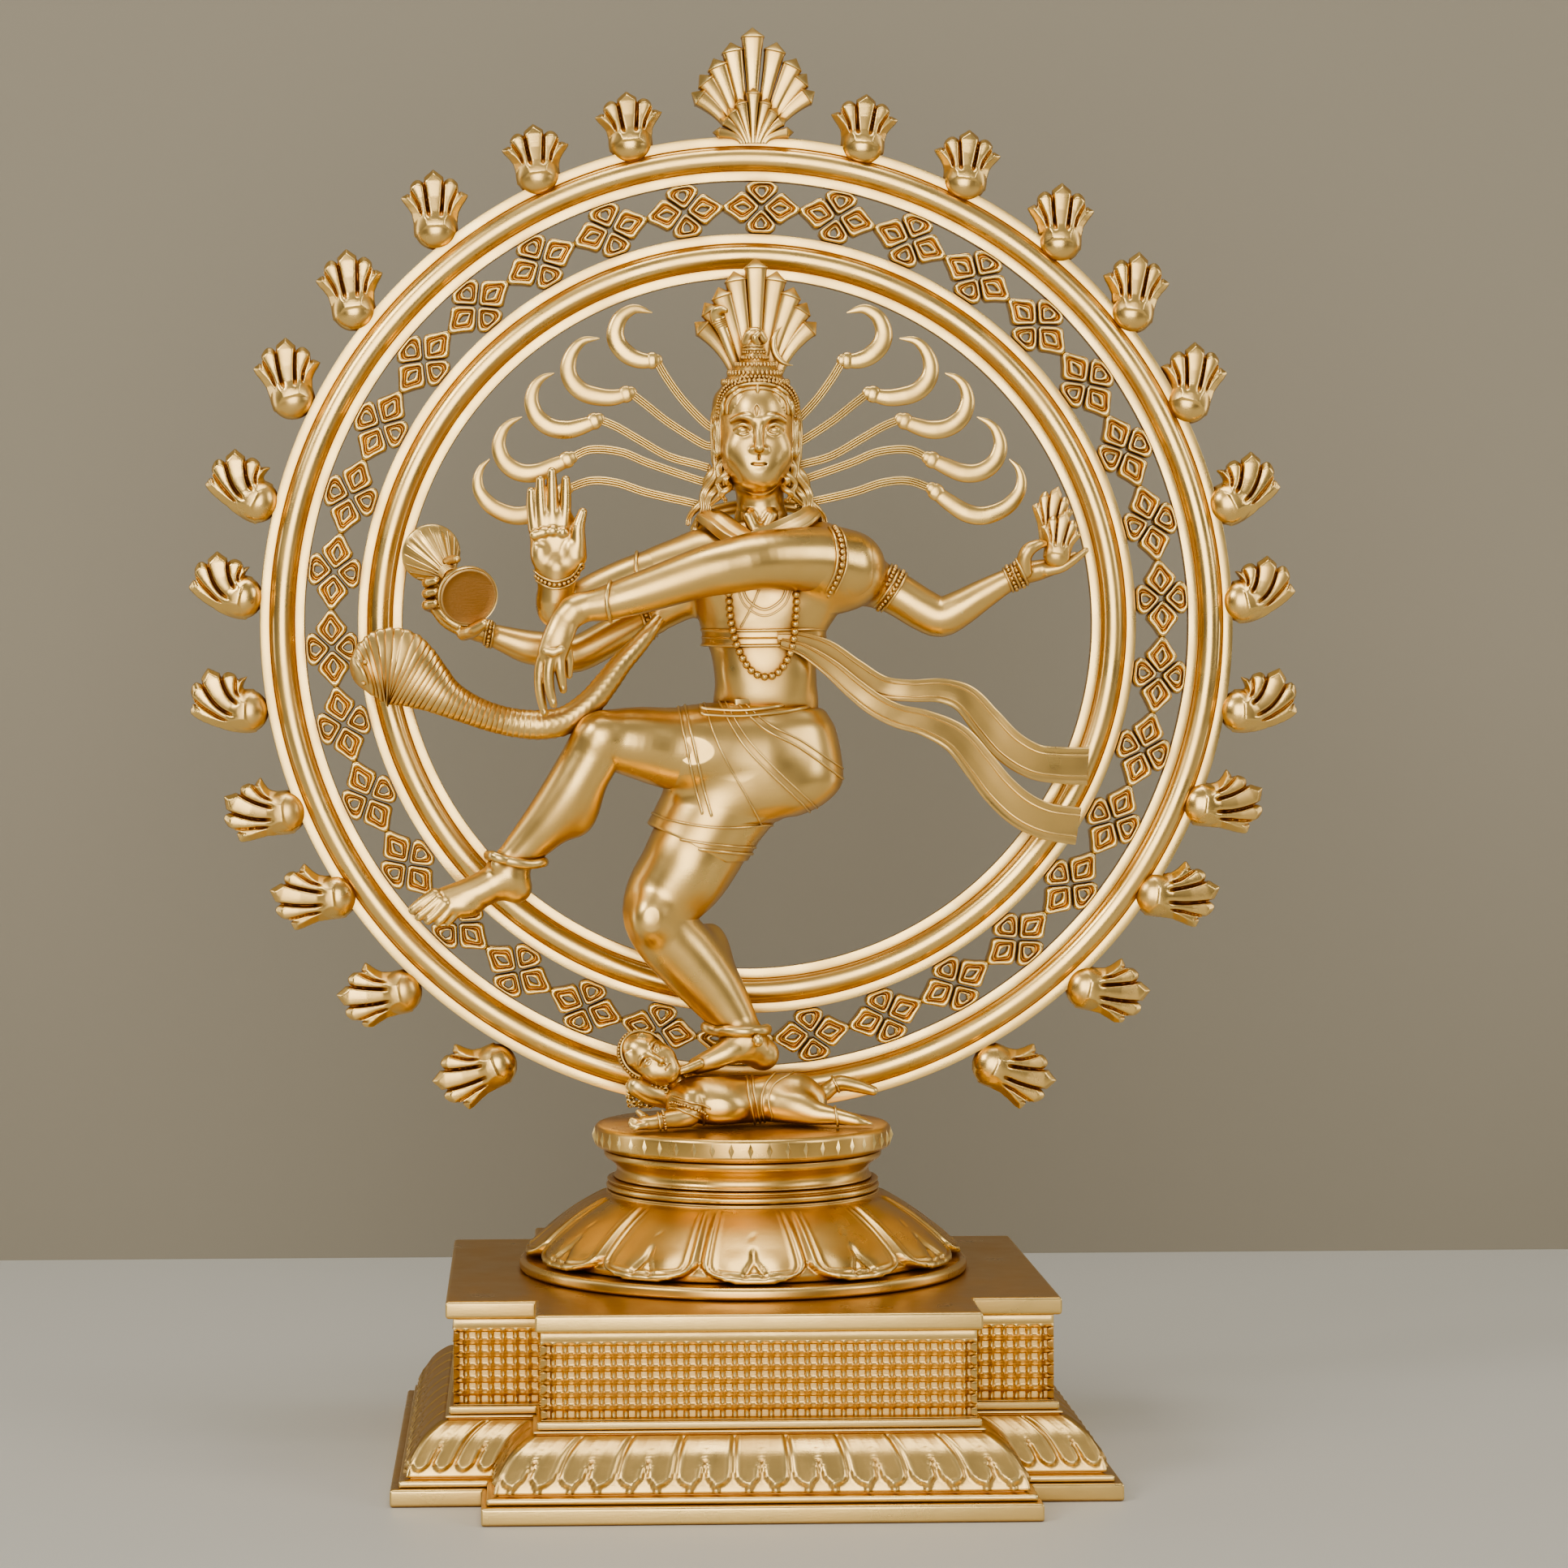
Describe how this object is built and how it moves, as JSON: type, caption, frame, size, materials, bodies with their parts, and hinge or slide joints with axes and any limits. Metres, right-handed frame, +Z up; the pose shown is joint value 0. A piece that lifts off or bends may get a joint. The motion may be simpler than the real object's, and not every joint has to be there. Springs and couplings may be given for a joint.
{
  "type": "nataraja statue",
  "caption": "Free-standing brass figure of a four-armed dancer inside a flaming ring, on a lotus pedestal over a redented square base; the ring lifts off.",
  "frame": {"origin": "centre of the plinth's underside, on the floor", "axes": "+Z up, +X to the viewer's right when facing the dancer, +Y to the back, away from the viewer"},
  "size_m": [0.7214, 0.437, 0.9143],
  "materials": {
    "base_brass": "cast and polished, dark in the recesses",
    "pedestal_brass": "turned and polished",
    "aureole_brass": "polished",
    "figure_brass": "lost-wax cast, hand chased, polished"
  },
  "bodies": {
    "statue": {"anklet_raised": "figure_brass", "anklet_standing": "figure_brass", "arm_crossing": "figure_brass", "arm_drum": "figure_brass", "arm_flame": "figure_brass", "arm_open_palm": "figure_brass", "base_lattice_block": "base_brass", "base_lotus_moulding": "base_brass", "base_plinth": "base_brass", "base_top_plate": "base_brass", "base_waist_fillet": "base_brass", "bead_necklace": "figure_brass", "cobra": "figure_brass", "crown_fan": "figure_brass", "damaru": "figure_brass", "dhoti": "figure_brass", "dwarf_body": "figure_brass", "dwarf_head": "figure_brass", "hair_locks_left": "figure_brass", "hair_locks_right": "figure_brass", "hand_flame": "figure_brass", "head": "figure_brass", "lotus_pedestal": "pedestal_brass", "lotus_seat_ring": "pedestal_brass", "pedestal_bowl": "pedestal_brass", "pedestal_collar": "pedestal_brass", "pedestal_disc": "pedestal_brass", "raised_leg": "figure_brass", "scarf": "figure_brass", "standing_leg": "figure_brass", "tie_bolt": "base_brass", "torso": "figure_brass"},
    "aureole": {"flame_l01": "aureole_brass", "flame_l02": "aureole_brass", "flame_l03": "aureole_brass", "flame_l04": "aureole_brass", "flame_l05": "aureole_brass", "flame_l06": "aureole_brass", "flame_l07": "aureole_brass", "flame_l08": "aureole_brass", "flame_l09": "aureole_brass", "flame_l10": "aureole_brass", "flame_l11": "aureole_brass", "flame_l12": "aureole_brass", "flame_r01": "aureole_brass", "flame_r02": "aureole_brass", "flame_r03": "aureole_brass", "flame_r04": "aureole_brass", "flame_r05": "aureole_brass", "flame_r06": "aureole_brass", "flame_r07": "aureole_brass", "flame_r08": "aureole_brass", "flame_r09": "aureole_brass", "flame_r10": "aureole_brass", "flame_r11": "aureole_brass", "flame_r12": "aureole_brass", "floral_band": "aureole_brass", "inner_hoop": "aureole_brass", "outer_hoop": "aureole_brass", "top_finial": "aureole_brass"}
  },
  "joints": [
    {"name": "aureole_lift", "type": "slide", "parent": "statue", "child": "aureole", "axis": [0, 0, 1], "range_m": [0, 0.03]}
  ]
}
